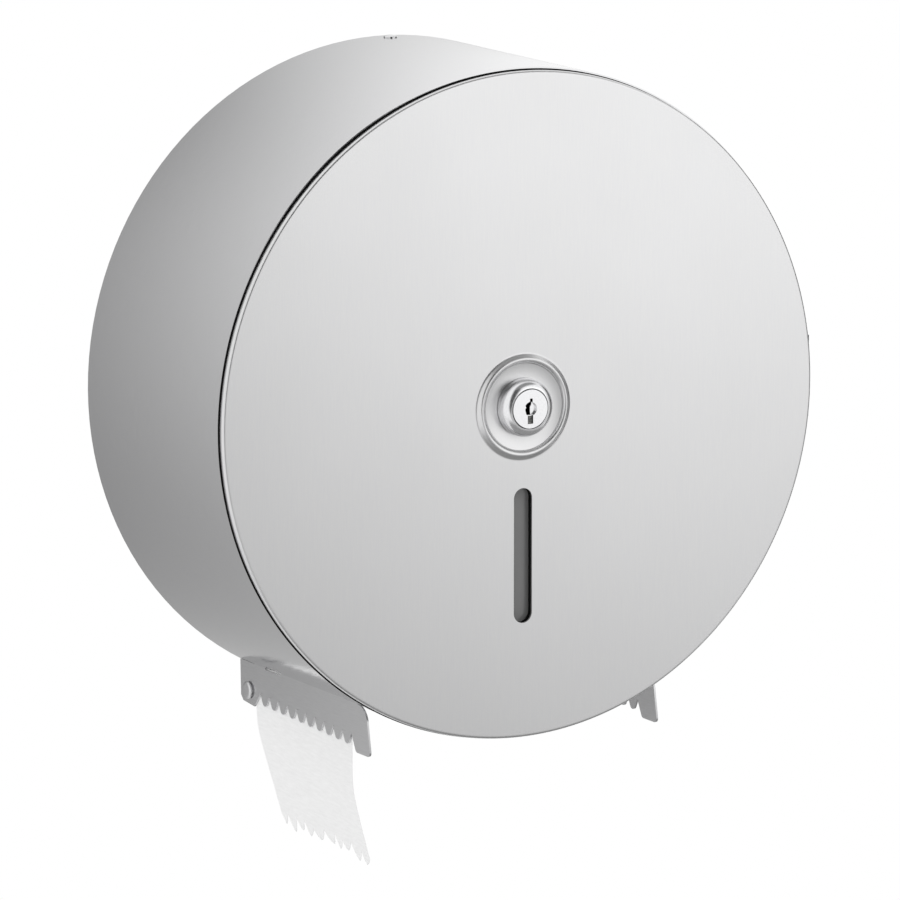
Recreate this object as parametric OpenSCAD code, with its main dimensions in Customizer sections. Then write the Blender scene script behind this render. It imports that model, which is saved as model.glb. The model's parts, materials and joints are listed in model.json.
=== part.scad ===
// Wall-mounted jumbo toilet roll dispenser with a key-locked, side-hinged cover.
// The origin is the drum's axis on the wall plane. +Z is up, -Y is the front, +X is the
// right as seen from the front. "Depth" in a name is the distance forward from the wall.

/* [Drum] */
// Outside diameter of the drum
drum_d = 276; // [260:0.2:320]
// Depth of the drum, from the wall to its front edge
drum_depth = 116; // [113:0.5:140]
// Thickness of the drum and back plate sheet
sheet_t = 1; // [0.7:0.1:1.3]
// Width of the lip turned in around the drum's mouth
lip_w = 7; // [5:0.5:9]
// Height of the flange turned forward around the back plate
back_flange = 12; // [10.5:0.5:13]
// Thickness of the black seal on the mouth's lip
seal_t = 0.8; // [0.6:0.1:2.5]
// How far the seal's outside stays within the drum's outside
seal_inset = 0.3; // [0.1:0.1:1]

/* [Cover] */
// Thickness of the cover sheet
cover_t = 0.8; // [0.6:0.1:1.2]
// Depth of the rim turned back around the cover
cover_rim = 2.3; // [2.2:0.1:4]
// Inside radius of the bend at the cover's edge
cover_bend_r = 0.2; // [0.1:0.1:0.8]
// How far the cover's rim stays within the drum's outside
cover_inset = 0.4; // [0.3:0.1:1.5]
// Gap between the cover's rim and the seal
seal_gap = 0.3; // [0.3:0.1:0.8]
// How far the cover hangs below the drum's axis
cover_drop = 0.6; // [0:0.1:0.8]

/* [Pressing around the lock] */
// Outside radius of the pressed bead
bead_r = 22.2; // [21.5:0.1:24]
// Width of the pressed bead
bead_w = 4.2; // [3:0.1:5]
// Height of the bead above the cover's face
bead_h = 1.4; // [0.8:0.1:2.5]
// Height at which the dish inside the bead starts, above the cover's face
dish_h = 0.6; // [0.3:0.1:0.8]

/* [Viewing slot] */
// Width of the viewing slot
slot_w = 8.5; // [5:0.5:10]
// Length of the viewing slot, end to end
slot_l = 56; // [40:1:60]
// Place of the slot's middle, as a share of the way from the bead to the cover's edge
slot_share = 0.342; // [0.3:0.002:0.4]
// Thickness of the gasket between the cover and the window
gasket_t = 2.6; // [1:0.1:3]
// Thickness of the window
window_t = 2; // [1.5:0.1:3]
// Width of the window and its gasket
window_w = 20; // [16:1:26]
// Distance of the window's studs beyond the slot's ends
stud_reach = 4.5; // [4:0.5:6]
// Radius of the window's studs
stud_r = 1.5; // [1:0.1:1.7]
// Length of the window's studs
stud_l = 8; // [8:0.5:10]
// Width of the stud nuts across their flats
stud_nut_af = 5.5; // [5:0.1:6]
// Thickness of the stud nuts
stud_nut_t = 2.4; // [1.5:0.1:2.6]

/* [Lock] */
// Radius of the lock's head where it meets the cover
head_r = 12; // [11.5:0.1:13]
// Height of the lock's head above the cover's face
head_h = 6.2; // [5:0.1:8]
// Height of the straight side of the head, below its rounded shoulder
head_side_h = 2.4; // [1:0.1:4]
// Outside radius of the flat ring around the lock's plug
head_ring_r = 9.9; // [9.2:0.1:10.5]
// Radius of the threaded barrel behind the head
barrel_r = 9.4; // [9:0.1:10]
// Length of the barrel behind the cover's face
barrel_l = 13.4; // [12:0.1:14]
// Radius of the turning plug
plug_r = 8.2; // [7:0.1:8.4]
// Depth of the chamfers on each side of the plug's edge
plug_chamfer = 0.3; // [0.1:0.05:0.5]
// Radius of the round recess at the keyhole
keyhole_r = 2.9; // [2:0.1:3.5]
// Depth of the round recess at the keyhole
keyhole_depth = 1.2; // [0.5:0.1:3]
// Width of the keyway
keyway_w = 2.4; // [1.2:0.1:3]
// Height of the keyway
keyway_l = 10.4; // [8:0.1:12]
// Depth of the keyway
keyway_depth = 8; // [4:0.5:12]
// How far the keyway's middle lies below the plug's axis
keyway_drop = 0.9; // [0:0.1:1.2]
// Radius of the plug's tail behind the barrel
tail_r = 5; // [4.5:0.1:5.5]
// Radius of the plug's end that carries the cam
cam_seat_r = 3.2; // [2.5:0.1:4]
// Width of the lock nut across its flats
lock_nut_af = 24; // [22:0.5:28]
// Thickness of the lock nut
lock_nut_t = 4; // [3:0.5:6]
// Thickness of the clip behind the barrel
clip_t = 0.8; // [0.5:0.1:0.9]
// Length of the cam from the lock's axis to its tip
cam_l = 12; // [11:0.1:12.6]
// Width of the cam
cam_w = 7; // [5:0.5:7.5]
// Thickness of the cam
cam_t = 2; // [1.5:0.1:2.5]
// Radius of the cam screw's head
cam_screw_r = 4.2; // [3.8:0.1:5]
// Thickness of the cam screw's head
cam_screw_t = 2; // [1:0.1:3]

/* [Spindle and catch] */
// Outside radius of the spindle
spindle_r = 15; // [14.7:0.1:16]
// Bore radius of the spindle
spindle_bore_r = 13.5; // [13.3:0.1:13.7]
// Radius of the spindle's shoulder behind the roll hub
shoulder_r = 18; // [17:0.5:21]
// Radius of the spindle's base flange
spindle_base_r = 28; // [27:0.5:32]
// Thickness of the spindle's base flange
spindle_base_t = 2; // [1.5:0.1:4]
// Radius of the circle of base rivets
base_rivet_circle_r = 23; // [22.5:0.1:23.5]
// Thickness of the catch plate in the spindle's end
catch_t = 1.5; // [1:0.1:2]
// Radius of the catch plate's centre hole
catch_hole_r = 7.5; // [7.5:0.1:8.5]
// Side clearance of the cam in the catch plate's slot
catch_clear = 1.5; // [1.5:0.1:2]
// Gap between the cam and the catch plate
cam_gap = 0.5; // [0.4:0.1:1]
// Gap between the catch plate and the lock's barrel
barrel_gap = 1.5; // [1.2:0.1:2]
// Thickness of the ring that holds the roll hub on
hub_ring_t = 1.2; // [0.8:0.1:1.5]
// Depth of the groove under that ring
hub_groove = 0.6; // [0.3:0.1:0.8]
// How far that ring stands out of the spindle
hub_ring_w = 2.5; // [1.5:0.1:4]

/* [Roll] */
// Diameter of the paper roll, partly used
roll_d = 131.8; // [100:0.2:133.2]
// Gap between the paper exit's rear edge and the roll
roll_back_margin = 0.5; // [0.5:0.5:2]
// Gap between the roll and the paper exit's front edge
roll_front_margin = 6; // [4:0.5:20]
// Outside radius of the roll hub
hub_r = 22; // [19:0.5:28]
// Radius of the roll hub's rear flange
hub_flange_r = 34; // [30:0.5:45]
// Thickness of the roll hub's rear flange
hub_flange_t = 3; // [2:0.1:3]
// How far the roll hub stands out of the roll's front
hub_proud = 1; // [0.5:0.1:1.5]
// Chamfer on the roll hub's front edge
hub_chamfer = 2; // [0.5:0.1:3]
// Wall of the cardboard core
core_t = 2; // [1:0.1:4]
// Running clearance of the hub on the spindle
hub_clear = 0.08; // [0.04:0.01:0.1]
// Thickness of the hanging paper
tail_t = 0.4; // [0.2:0.1:0.4]
// Length of the hanging paper, from the height of the spindle's axis
tail_l = 190; // [160:1:260]
// How far the end of the paper drifts inwards
tail_drift = 10; // [0:0.5:15]

/* [Paper exit and tear bars] */
// Width of the paper exit in the drum's underside
exit_w = 136; // [134:0.5:150]
// Sheet left behind the paper exit, past the back flange
exit_margin = 0.5; // [0.5:0.5:2]
// Sheet left in front of the paper exit
exit_strip = 13; // [11:0.5:16]
// Thickness of the tear bars
bar_t = 0.8; // [0.7:0.1:1.5]
// How far the tear bars' front tabs reach below the drum
bar_h = 20.4; // [17:0.1:30]
// How far a tear bar's lower edge falls from the wall to its front end
bar_fall = 2.5; // [0:0.1:3]
// How far the tear bars end behind the drum's front edge
bar_setback = 2.5; // [1:0.5:6]
// Length of a tear bar's rear tab, from the wall to the first notch
rear_tab = 17.8; // [15:0.1:19]
// Length of a tear bar's front tab, from the last notch
front_tab = 15.7; // [14:0.1:18]
// Number of teeth on each tear bar
teeth = 10; // [9:1:12]
// Radius of each tooth's tip
tooth_r = 2.2; // [1.5:0.1:3]
// Depth of the notches between the teeth
tooth_h = 5; // [3.6:0.1:6]
// How far the teeth stay above the end tabs
tooth_rise = 1.8; // [0:0.1:4]
// Radius of the front tab's bottom corners
tab_corner_r = 2; // [1:0.1:3]
// Radius of the front tab's top corner
top_corner_r = 8; // [3:0.1:8]
// Width of the strip that joins each tear bar to the drum's inside
bar_strip_w = 14; // [8:0.5:20]
// Thickness of that strip
bar_strip_t = 1; // [0.8:0.1:1.1]
// Length of the slot at each tear bar's top
bar_slot_l = 13.5; // [8:0.5:20]
// Height of the slot at each tear bar's top
bar_slot_h = 1.2; // [0.8:0.1:2]
// Distance of that slot's middle in front of the wall
bar_slot_depth = 29; // [26:0.5:40]
// Width of the brackets that hold the tear bars' rear tabs
bracket_w = 12; // [8:0.5:16]
// How far the brackets stay behind the paper exit
bracket_gap = 1; // [0.5:0.1:1.5]
// How far the brackets' lower ends stay above the rear tabs' ends
bracket_rise = 1.5; // [0.5:0.1:2]

/* [Hinge] */
// Length of the hinge
hinge_l = 34; // [28:1:40]
// Radius of the hinge's knuckles
knuckle_r = 2.2; // [1.8:0.1:2.4]
// Radius of the hinge pin
pin_r = 1.1; // [0.8:0.05:1.3]
// Running clearance of the pin in the knuckles
pin_clear = 0.05; // [0.03:0.01:0.1]
// Gap between neighbouring knuckles
knuckle_gap = 0.4; // [0.3:0.1:0.8]
// Thickness of the hinge leaves
leaf_t = 1; // [0.8:0.1:1.1]
// Width of the hinge leaves
leaf_w = 22; // [16:1:30]
// Distance of the hinge's axis behind the drum's front edge
hinge_setback = 2.5; // [2.5:0.1:3.5]
// How far the hinge's axis stays inside the drum's surface
hinge_inset = 0.7; // [0.4:0.1:1]
// Space cut around the hinge in the drum's mouth
hinge_space = 0.5; // [0.4:0.1:1]

/* [Fasteners and wall holes] */
// Radius of the wall screw holes
wall_hole_r = 3.25; // [2.5:0.05:4]
// Diameter of the circle of wall screw holes
wall_hole_circle_d = 150; // [120:1:200]
// Number of wall screw holes
wall_holes = 4; // [3:1:8]
// Shank radius of the drum and hinge rivets
rivet_r = 1.5; // [1:0.1:2]
// Head radius of the drum and hinge rivets
rivet_head_r = 2.8; // [2.5:0.1:3.5]
// Head height of the drum and hinge rivets
rivet_head_h = 1; // [0.6:0.1:1.5]
// Shank radius of the tear bar rivets
bar_rivet_r = 2; // [1.5:0.1:2.5]
// Head radius of the tear bar rivets
bar_rivet_head_r = 3.7; // [3:0.1:4.2]
// Head height of the tear bar rivets
bar_rivet_head_h = 1.6; // [1:0.1:2]
// Distance of the tear bar rivets in front of the wall
bar_rivet_depth = 7.9; // [5.5:0.1:8.5]
// Height of the tear bar rivets above the rear tabs' ends
bar_rivet_rise = 5.8; // [5.5:0.1:8]
// Shank radius of the spindle's base rivets
base_rivet_r = 2.2; // [1.5:0.1:2.5]
// Head radius of the spindle's base rivets
base_rivet_head_r = 4; // [3.2:0.1:4]
// Head height of the spindle's base rivets
base_rivet_head_h = 1.5; // [1:0.1:2]

/* [Hidden] */
$fn = 96;
// Overrun of cutting shapes past the faces they cut
cut = 1;
// Overlap that joins two shapes into one
join = 0.05;
steel = "#c9cacc";
dark_steel = "#9a9a9c";
chrome = "#e8e8ea";
black = "#1a1a1a";

// Drum
drum_r = drum_d / 2;
drum_in_r = drum_r - sheet_t;
exit_back = back_flange + exit_margin;
exit_front = drum_depth - exit_strip;
drum_rivet_angles = [90, 0, 270];
drum_rivet_depth = back_flange * 0.6;
// Size of a rivet's hidden head as a share of its outside head
back_head = 0.8;

// Cover, from its front face back
cover_r = drum_r - cover_inset;
rim_back = drum_depth + seal_t + seal_gap;
cover_front = rim_back + cover_rim;
cover_back = cover_front - cover_t;
bend_out_r = cover_bend_r + cover_t;
slot_z = bead_r + slot_share * (cover_r - bead_r);

// Lock, from the cover's face back
hole_clear = 0.1;
plug_clear = 0.08;
barrel_back = cover_front - barrel_l;
catch_front = barrel_back - barrel_gap;
catch_back = catch_front - catch_t;
cam_front = catch_back - cam_gap;
cam_back = cam_front - cam_t;
clip_play = 0.15;
clip_r = plug_r + 0.7;
cam_hub_r = cam_w / 2 + 2;
cam_screw_shank_r = cam_seat_r / 2;
cam_screw_reach = 5;

// Spindle, from the back plate forward
roll_back = exit_back + roll_back_margin;
roll_front = exit_front - roll_front_margin;
hub_back = roll_back - hub_flange_t;
hub_front = roll_front + hub_proud;
hub_play = 0.3;
ring_back = hub_front + hub_play;
spindle_floor_t = 2;
spindle_floor = sheet_t + spindle_base_t + spindle_floor_t;
hub_ring_split = 4;
base_rivets = 3;

// Tear bars, from the drum's underside down
bar_out_x = exit_w / 2;
bar_in_x = bar_out_x - bar_t;
bar_top_z = -sqrt(drum_r * drum_r - bar_out_x * bar_out_x) - join;
bar_join_z = -sqrt(pow(drum_in_r - bar_strip_t, 2) - bar_out_x * bar_out_x) - 2 * join;
bar_bottom_z = -sqrt(drum_r * drum_r - bar_out_x * bar_out_x) - bar_h;
rear_bottom_z = bar_bottom_z + bar_fall;
tooth_tip_z = bar_bottom_z + tooth_rise;
tooth_root_z = tooth_tip_z + tooth_h;
bar_l = drum_depth - bar_setback;
last_notch = bar_l - front_tab;
tooth_pitch = (last_notch - rear_tab) / teeth;
bar_play = 0.2;
// Lower corners of the rear tab, where it meets the wall
rear_chamfer = 2.6;
rear_lean = 0.5;
// How far the sides of the end tabs lean away from the notches beside them
notch_lean = 3;
rear_notch_lean = 5.3;
rear_notch_bend = 1.7;
// How far the top of a tear bar's front edge leans back
front_lean = 2;
// How far the slot at a tear bar's top reaches up past the drum's wall
bar_slot_lap = 0.4;
bar_slot_z = bar_top_z + bar_slot_lap - bar_slot_h / 2;
bar_rivet_z = rear_bottom_z + bar_rivet_rise;
bar_rivet_back_h = 1;
bracket_l = exit_back - bracket_gap;
bracket_bottom_z = rear_bottom_z + bracket_rise;

// Roll, and the hanging paper that leaves it on a line to the tear bar's inner side:
// to the bar's lower edge, or round its upper edge where the roll is wider
roll_r = roll_d / 2;
tail_in_x = bar_in_x - tail_t;
bar_head_z = -sqrt(pow(drum_in_r - bar_strip_t, 2) - bar_in_x * bar_in_x);
wide_roll = roll_r > tail_in_x;
guide_z = wide_roll ? bar_head_z : tooth_root_z;
guide_reach = sqrt(tail_in_x * tail_in_x + guide_z * guide_z);
leave_a = atan2(guide_z, tail_in_x) + acos(roll_r / guide_reach);
tail_steps = 12;

// Hinge
hinge_x = drum_r - hinge_inset;
hinge_depth = drum_depth - hinge_setback;
knuckles = 5;
knuckle_l = (hinge_l - (knuckles - 1) * knuckle_gap) / knuckles;
leaf_gap = 0.3;
leaf_front = hinge_depth - knuckle_r - leaf_gap;
leaf_rivet_depth = leaf_front - leaf_w / 2;
hinge_rivet_angles = [-4, 0, 4];
// Arms that carry the drum's knuckles, from the leaf's inner face out to the axis
arm_back = leaf_front - leaf_t;
arm_in_x = sqrt(pow(drum_in_r - leaf_t, 2) - hinge_l * hinge_l / 4);
// Reach of the cover's hinge arms, from the axis inwards
hinge_reach = 5.2;
pin_head_r = (pin_r + knuckle_r) / 2;
pin_head_h = 0.8;

// Puts a shape that stands on the XY plane at a depth, facing forward
module forward(depth) {
    translate([0, -depth, 0]) rotate([90, 0, 0]) children();
}

// A shape of the cover, hanging a little below the drum's axis
module on_cover() {
    translate([0, 0, -cover_drop]) children();
}

module ring(r_out, r_in, depth_0, depth_1) {
    forward(depth_0) difference() {
        cylinder(r = r_out, h = depth_1 - depth_0);
        translate([0, 0, -cut]) cylinder(r = r_in, h = depth_1 - depth_0 + 2 * cut);
    }
}

// A box from its lowest and highest x, depth and z
module block(x0, x1, depth_0, depth_1, z0, z1) {
    translate([x0, -depth_1, z0]) cube([x1 - x0, depth_1 - depth_0, z1 - z0]);
}

// A hexagon nut with a round hole, standing on the XY plane
module nut(across_flats, hole_r, h) {
    difference() {
        cylinder(r = across_flats / sqrt(3), h = h, $fn = 6);
        translate([0, 0, -cut]) cylinder(r = hole_r, h = h + 2 * cut);
    }
}

// A domed rivet head standing on the XY plane
module dome(r, h) {
    rim_h = h * 0.35;
    rotate_extrude() polygon(concat([[0, 0], [r, 0]],
        [for (i = [0:8]) [r * cos(90 * i / 8), rim_h + (h - rim_h) * sin(90 * i / 8)]]));
}

// A shape along +Z turned to point radially out of the drum at an angle from +X, at a depth
module radial(angle, depth) {
    translate([0, -depth, 0]) rotate([0, -angle, 0]) rotate([0, 90, 0]) children();
}

// A rivet through the drum's wall and a second sheet inside it
module shell_rivet(angle, depth, inner_t) {
    inner_head_r = rivet_head_r * back_head;
    inner_head_h = rivet_head_h * back_head;
    seat_r = sqrt(pow(drum_in_r - inner_t, 2) - inner_head_r * inner_head_r);
    radial(angle, depth) {
        translate([0, 0, seat_r]) cylinder(r = rivet_r, h = drum_r - seat_r);
        translate([0, 0, drum_r]) dome(rivet_head_r, rivet_head_h);
        translate([0, 0, seat_r - inner_head_h]) cylinder(r = inner_head_r, h = inner_head_h);
    }
}

module shell_rivet_hole(angle, depth) {
    inner_t = max(sheet_t, leaf_t);
    radial(angle, depth) translate([0, 0, drum_in_r - inner_t - cut])
        cylinder(r = rivet_r, h = sheet_t + inner_t + 2 * cut);
}

module hinge_cut() {
    half = hinge_l / 2 + pin_head_h + hinge_space;
    block(hinge_x - hinge_reach - hinge_space, hinge_x + knuckle_r + cut,
          arm_back - hinge_space, rim_back, -half, half);
}

module back_plate() {
    color(steel) difference() {
        forward(0) cylinder(r = drum_in_r, h = back_flange);
        forward(sheet_t) cylinder(r = drum_in_r - sheet_t, h = back_flange);
        for (i = [0:wall_holes - 1]) rotate([0, 45 + 360 * i / wall_holes, 0])
            translate([wall_hole_circle_d / 2, 0, 0])
                forward(-cut) cylinder(r = wall_hole_r, h = sheet_t + 2 * cut);
        for (i = [0:base_rivets - 1]) rotate([0, 30 + 360 * i / base_rivets, 0])
            translate([base_rivet_circle_r, 0, 0])
                forward(-cut) cylinder(r = base_rivet_r, h = sheet_t + 2 * cut);
        for (a = drum_rivet_angles) shell_rivet_hole(a, drum_rivet_depth);
    }
}

// An angle at each side, between the wall, the drum's underside and a tear bar's rear tab
module bar_brackets() {
    color(steel) for (side = [0, 1]) mirror([side, 0, 0]) difference() {
        union() {
            block(bar_in_x - bracket_w, bar_in_x, 0, sheet_t, bracket_bottom_z, bar_join_z);
            block(bar_in_x - sheet_t, bar_in_x, 0, bracket_l, bracket_bottom_z, bar_join_z);
        }
        forward(-cut) cylinder(r = drum_r, h = drum_depth);
        bar_rivet_hole();
    }
}

module drum_wall() {
    color(steel) difference() {
        union() {
            ring(drum_r, drum_in_r, 0, drum_depth);
            ring(drum_in_r + 2 * join, drum_in_r - lip_w, drum_depth - sheet_t, drum_depth);
        }
        block(-bar_out_x, bar_out_x, exit_back, exit_front, -drum_r - cut, -drum_r / 2);
        hinge_cut();
        for (a = drum_rivet_angles) shell_rivet_hole(a, drum_rivet_depth);
        for (a = hinge_rivet_angles) shell_rivet_hole(a, leaf_rivet_depth);
    }
}

module drum_rivets() {
    color(dark_steel) for (a = drum_rivet_angles) shell_rivet(a, drum_rivet_depth, sheet_t);
}

module rim_seal() {
    color(black) difference() {
        ring(drum_r - seal_inset, drum_in_r - lip_w + 1, drum_depth, drum_depth + seal_t);
        hinge_cut();
    }
}

// Tangent point of a tooth's flank, which runs from a notch's root to the round tip
tip_drop = tooth_h - tooth_r;
root_reach = sqrt(pow(tooth_pitch / 2, 2) + tip_drop * tip_drop);
flank_l = sqrt(root_reach * root_reach - tooth_r * tooth_r);
flank_a = 180 + atan2(tip_drop, tooth_pitch / 2) + asin(tooth_r / root_reach);
flank_x = tooth_pitch / 2 + flank_l * cos(flank_a);
flank_z = flank_l * sin(flank_a);

// One tooth hanging below its root line, in depth and height
module tooth() {
    translate([0, -tip_drop]) circle(r = tooth_r);
    polygon([[-tooth_pitch / 2, 0], [-flank_x, flank_z], [0, -tip_drop], [flank_x, flank_z],
             [tooth_pitch / 2, 0]]);
}

// How far a tear bar's lower edge stays above its front end, at a depth
function bar_slant(depth) = bar_fall * (1 - depth / bar_l);

// Outline of a tear bar, drawn as depth and height; the middle goes up through the exit
module bar_outline() {
    corner_depth = bar_l - front_lean - top_corner_r;
    translate([exit_back + bar_play, bar_bottom_z + bar_h / 2])
        square([exit_front - exit_back - 2 * bar_play, bar_join_z - bar_bottom_z - bar_h / 2]);
    polygon(concat(
        [[0, bar_top_z]],
        [for (i = [0:8]) let (a = 90 - 90 * i / 8)
            [corner_depth + top_corner_r * cos(a), bar_top_z - top_corner_r * (1 - sin(a))]],
        [for (i = [0:6]) let (a = -90 * i / 6)
            [bar_l - tab_corner_r + tab_corner_r * cos(a),
             bar_bottom_z + tab_corner_r + tab_corner_r * sin(a)]],
        [for (i = [0:6]) let (a = -90 - 70 * i / 6)
            [last_notch + notch_lean + tab_corner_r * (1 + cos(a)),
             bar_bottom_z + tab_corner_r + tab_corner_r * sin(a)]],
        [[last_notch, tooth_root_z + bar_slant(last_notch)],
         [rear_tab, tooth_root_z + bar_slant(rear_tab)],
         [rear_tab - rear_notch_bend, tooth_root_z - tooth_h / 2 + bar_slant(rear_tab)],
         [rear_tab - rear_notch_lean, bar_bottom_z + bar_slant(rear_tab)],
         [rear_chamfer, rear_bottom_z + rear_lean], [rear_lean, rear_bottom_z + rear_chamfer]]));
    for (i = [0:teeth - 1]) let (depth = rear_tab + (i + 0.5) * tooth_pitch)
        translate([depth, tooth_root_z + bar_slant(depth)]) tooth();
}

module bar_rivet_hole() {
    translate([bar_out_x - bar_t - sheet_t - cut, -bar_rivet_depth, bar_rivet_z])
        rotate([0, 90, 0]) cylinder(r = bar_rivet_r, h = bar_t + sheet_t + 2 * cut);
}

// The tear bar at the right; its strip follows the inside of the drum's wall
module tear_bar() {
    difference() {
        union() {
            translate([bar_in_x, 0, 0]) rotate([90, 0, 90]) linear_extrude(bar_t)
                mirror([1, 0]) bar_outline();
            intersection() {
                ring(drum_in_r, drum_in_r - bar_strip_t, exit_back + bar_play, exit_front - bar_play);
                block(bar_in_x, bar_in_x + bar_strip_w, 0, drum_depth, -drum_r, 0);
            }
        }
        forward(-cut) cylinder(r = drum_r + join, h = exit_back + bar_play / 2 + cut);
        forward(exit_front - bar_play / 2) cylinder(r = drum_r + join, h = drum_depth);
        translate([bar_in_x - cut, -bar_slot_depth, bar_slot_z]) rotate([0, 90, 0])
            linear_extrude(bar_t + 2 * cut) square([bar_slot_h, bar_slot_l], center = true);
        bar_rivet_hole();
    }
}

module left_tear_bar() {
    color(dark_steel) mirror([1, 0, 0]) tear_bar();
}

module right_tear_bar() {
    color(dark_steel) tear_bar();
}

module tear_bar_rivets() {
    color(dark_steel) for (side = [0, 1]) mirror([side, 0, 0])
        translate([bar_in_x - sheet_t, -bar_rivet_depth, bar_rivet_z]) rotate([0, 90, 0]) {
            cylinder(r = bar_rivet_r, h = sheet_t + bar_t);
            translate([0, 0, sheet_t + bar_t]) dome(bar_rivet_head_r, bar_rivet_head_h);
            translate([0, 0, -bar_rivet_back_h])
                cylinder(r = bar_rivet_head_r * back_head, h = bar_rivet_back_h);
        }
}

module spindle() {
    base = sheet_t;
    color(dark_steel) difference() {
        forward(0) rotate_extrude() polygon([
            [0, base], [spindle_base_r, base], [spindle_base_r, base + spindle_base_t],
            [shoulder_r, base + spindle_base_t], [shoulder_r, hub_back - hub_play],
            [spindle_r, hub_back - hub_play], [spindle_r, ring_back],
            [spindle_r - hub_groove, ring_back], [spindle_r - hub_groove, ring_back + hub_ring_t],
            [spindle_r, ring_back + hub_ring_t], [spindle_r, catch_front],
            [spindle_bore_r, catch_front], [spindle_bore_r, spindle_floor], [0, spindle_floor]]);
        for (i = [0:base_rivets - 1]) rotate([0, 30 + 360 * i / base_rivets, 0])
            translate([base_rivet_circle_r, 0, 0])
                forward(0) cylinder(r = base_rivet_r, h = sheet_t + spindle_base_t + cut);
    }
}

module spindle_rivets() {
    color(steel) for (i = [0:base_rivets - 1]) rotate([0, 30 + 360 * i / base_rivets, 0])
        translate([base_rivet_circle_r, 0, 0]) {
            forward(0) cylinder(r = base_rivet_r, h = sheet_t + spindle_base_t);
            forward(sheet_t + spindle_base_t) dome(base_rivet_head_r, base_rivet_head_h);
        }
}

module catch_plate() {
    slot_half = cam_w / 2 + catch_clear;
    color(steel) difference() {
        forward(catch_back) cylinder(r = spindle_bore_r, h = catch_t);
        forward(catch_back - cut) cylinder(r = catch_hole_r, h = catch_t + 2 * cut);
        block(-slot_half, slot_half, catch_back - cut, catch_front + cut, 0, spindle_r);
    }
}

module hub_ring() {
    color(dark_steel) difference() {
        ring(spindle_r + hub_ring_w, spindle_r - hub_groove, ring_back, ring_back + hub_ring_t);
        block(-hub_ring_split / 2, hub_ring_split / 2, ring_back - cut,
              ring_back + hub_ring_t + cut, -spindle_r - hub_ring_w - cut, 0);
    }
}

module roll_hub() {
    bore_r = spindle_r + hub_clear;
    color("#3a3c40") forward(0) rotate_extrude() polygon([
        [bore_r, hub_back], [hub_flange_r, hub_back], [hub_flange_r, roll_back],
        [hub_r, roll_back], [hub_r, hub_front - hub_chamfer], [hub_r - hub_chamfer, hub_front],
        [bore_r, hub_front]]);
}

module roll_core() {
    color("#b08a5c") ring(hub_r + core_t, hub_r, roll_back, roll_front);
}

module paper_roll() {
    color("#f2f2f0") ring(roll_r, hub_r + core_t, roll_back, roll_front);
}

// A point on the hanging paper below the tear bar, at a share of its free length
function tail_point(share, t) =
    [tail_in_x + t - tail_drift * share * share, tooth_root_z - (tail_l + tooth_root_z) * share];

module tissue_tail() {
    leave_x = roll_r * cos(leave_a);
    leave_z = roll_r * sin(leave_a);
    color("#f4f4f4") mirror([1, 0, 0]) translate([0, -roll_back, 0]) rotate([90, 0, 0])
        linear_extrude(roll_front - roll_back) polygon(concat(
            [[leave_x + tail_t, leave_z], [leave_x, leave_z]],
            wide_roll ? [[tail_in_x, guide_z]] : [],
            [for (i = [0:tail_steps]) tail_point(i / tail_steps, 0)],
            [for (i = [tail_steps:-1:0]) tail_point(i / tail_steps, tail_t)],
            wide_roll ? [[tail_in_x + tail_t, guide_z]] : []));
}

// Front face of the cover from its rim to the lock's hole, as radius and depth
bead_half = bead_w / 2;
bead_end_a = 180 - asin(dish_h / bead_h);
dish_out_r = bead_r - bead_half + bead_half * cos(bead_end_a);
dish_gap = 0.3;
dish_in_r = head_r + dish_gap;
cover_face = concat(
    [[cover_r - bend_out_r, cover_front]],
    [for (i = [0:16]) let (a = bead_end_a * i / 16)
        [bead_r - bead_half + bead_half * cos(a), cover_front + bead_h * sin(a)]],
    [for (i = [1:10]) let (s = 1 - i / 10)
        [dish_in_r + (dish_out_r - dish_in_r) * s, cover_front + dish_h * s * s]],
    [[barrel_r + hole_clear, cover_front]]);

module slot_shape(w, l) {
    for (end = [-1, 1]) translate([0, end * (l - w) / 2]) circle(r = w / 2);
    square([w, l - w], center = true);
}

module front_cover() {
    last = len(cover_face) - 1;
    color(steel) on_cover() difference() {
        forward(0) rotate_extrude($fn = 192) polygon(concat(
            [[cover_r - cover_t, rim_back], [cover_r, rim_back]],
            [for (i = [0:5]) let (a = 90 * i / 6)
                [cover_r - bend_out_r + bend_out_r * cos(a),
                 cover_front - bend_out_r + bend_out_r * sin(a)]],
            cover_face,
            [for (i = [last:-1:0]) [cover_face[i][0], cover_face[i][1] - cover_t]],
            [for (i = [1:3]) let (a = 90 - 90 * i / 3)
                [cover_r - bend_out_r + cover_bend_r * cos(a),
                 cover_front - bend_out_r + cover_bend_r * sin(a)]]));
        translate([0, 0, -slot_z]) forward(cover_back - cut) linear_extrude(cover_t + 2 * cut)
            slot_shape(slot_w, slot_l);
    }
}

stud_margin = 2.5;
window_l = slot_l + 2 * (stud_reach + stud_r + stud_margin);
stud_z = slot_l / 2 + stud_reach;
gasket_back = cover_back - gasket_t;
window_back = gasket_back - window_t;
gasket_clear = 0.4;

// Places a copy at each of the two window studs
module at_studs(depth) {
    on_cover() for (end = [-1, 1]) translate([0, 0, -slot_z + end * stud_z])
        forward(depth) children();
}

module window_gasket() {
    color(black) difference() {
        on_cover() translate([0, 0, -slot_z]) forward(gasket_back) linear_extrude(gasket_t)
            difference() {
                square([window_w, window_l], center = true);
                slot_shape(slot_w + gasket_clear, slot_l + gasket_clear);
            }
        at_studs(gasket_back - cut) cylinder(r = stud_r, h = gasket_t + 2 * cut);
    }
}

module level_window() {
    color("#55585c", 0.6) difference() {
        on_cover() translate([0, 0, -slot_z]) forward(window_back) linear_extrude(window_t)
            square([window_w, window_l], center = true);
        at_studs(window_back - cut) cylinder(r = stud_r, h = window_t + 2 * cut);
    }
}

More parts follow.
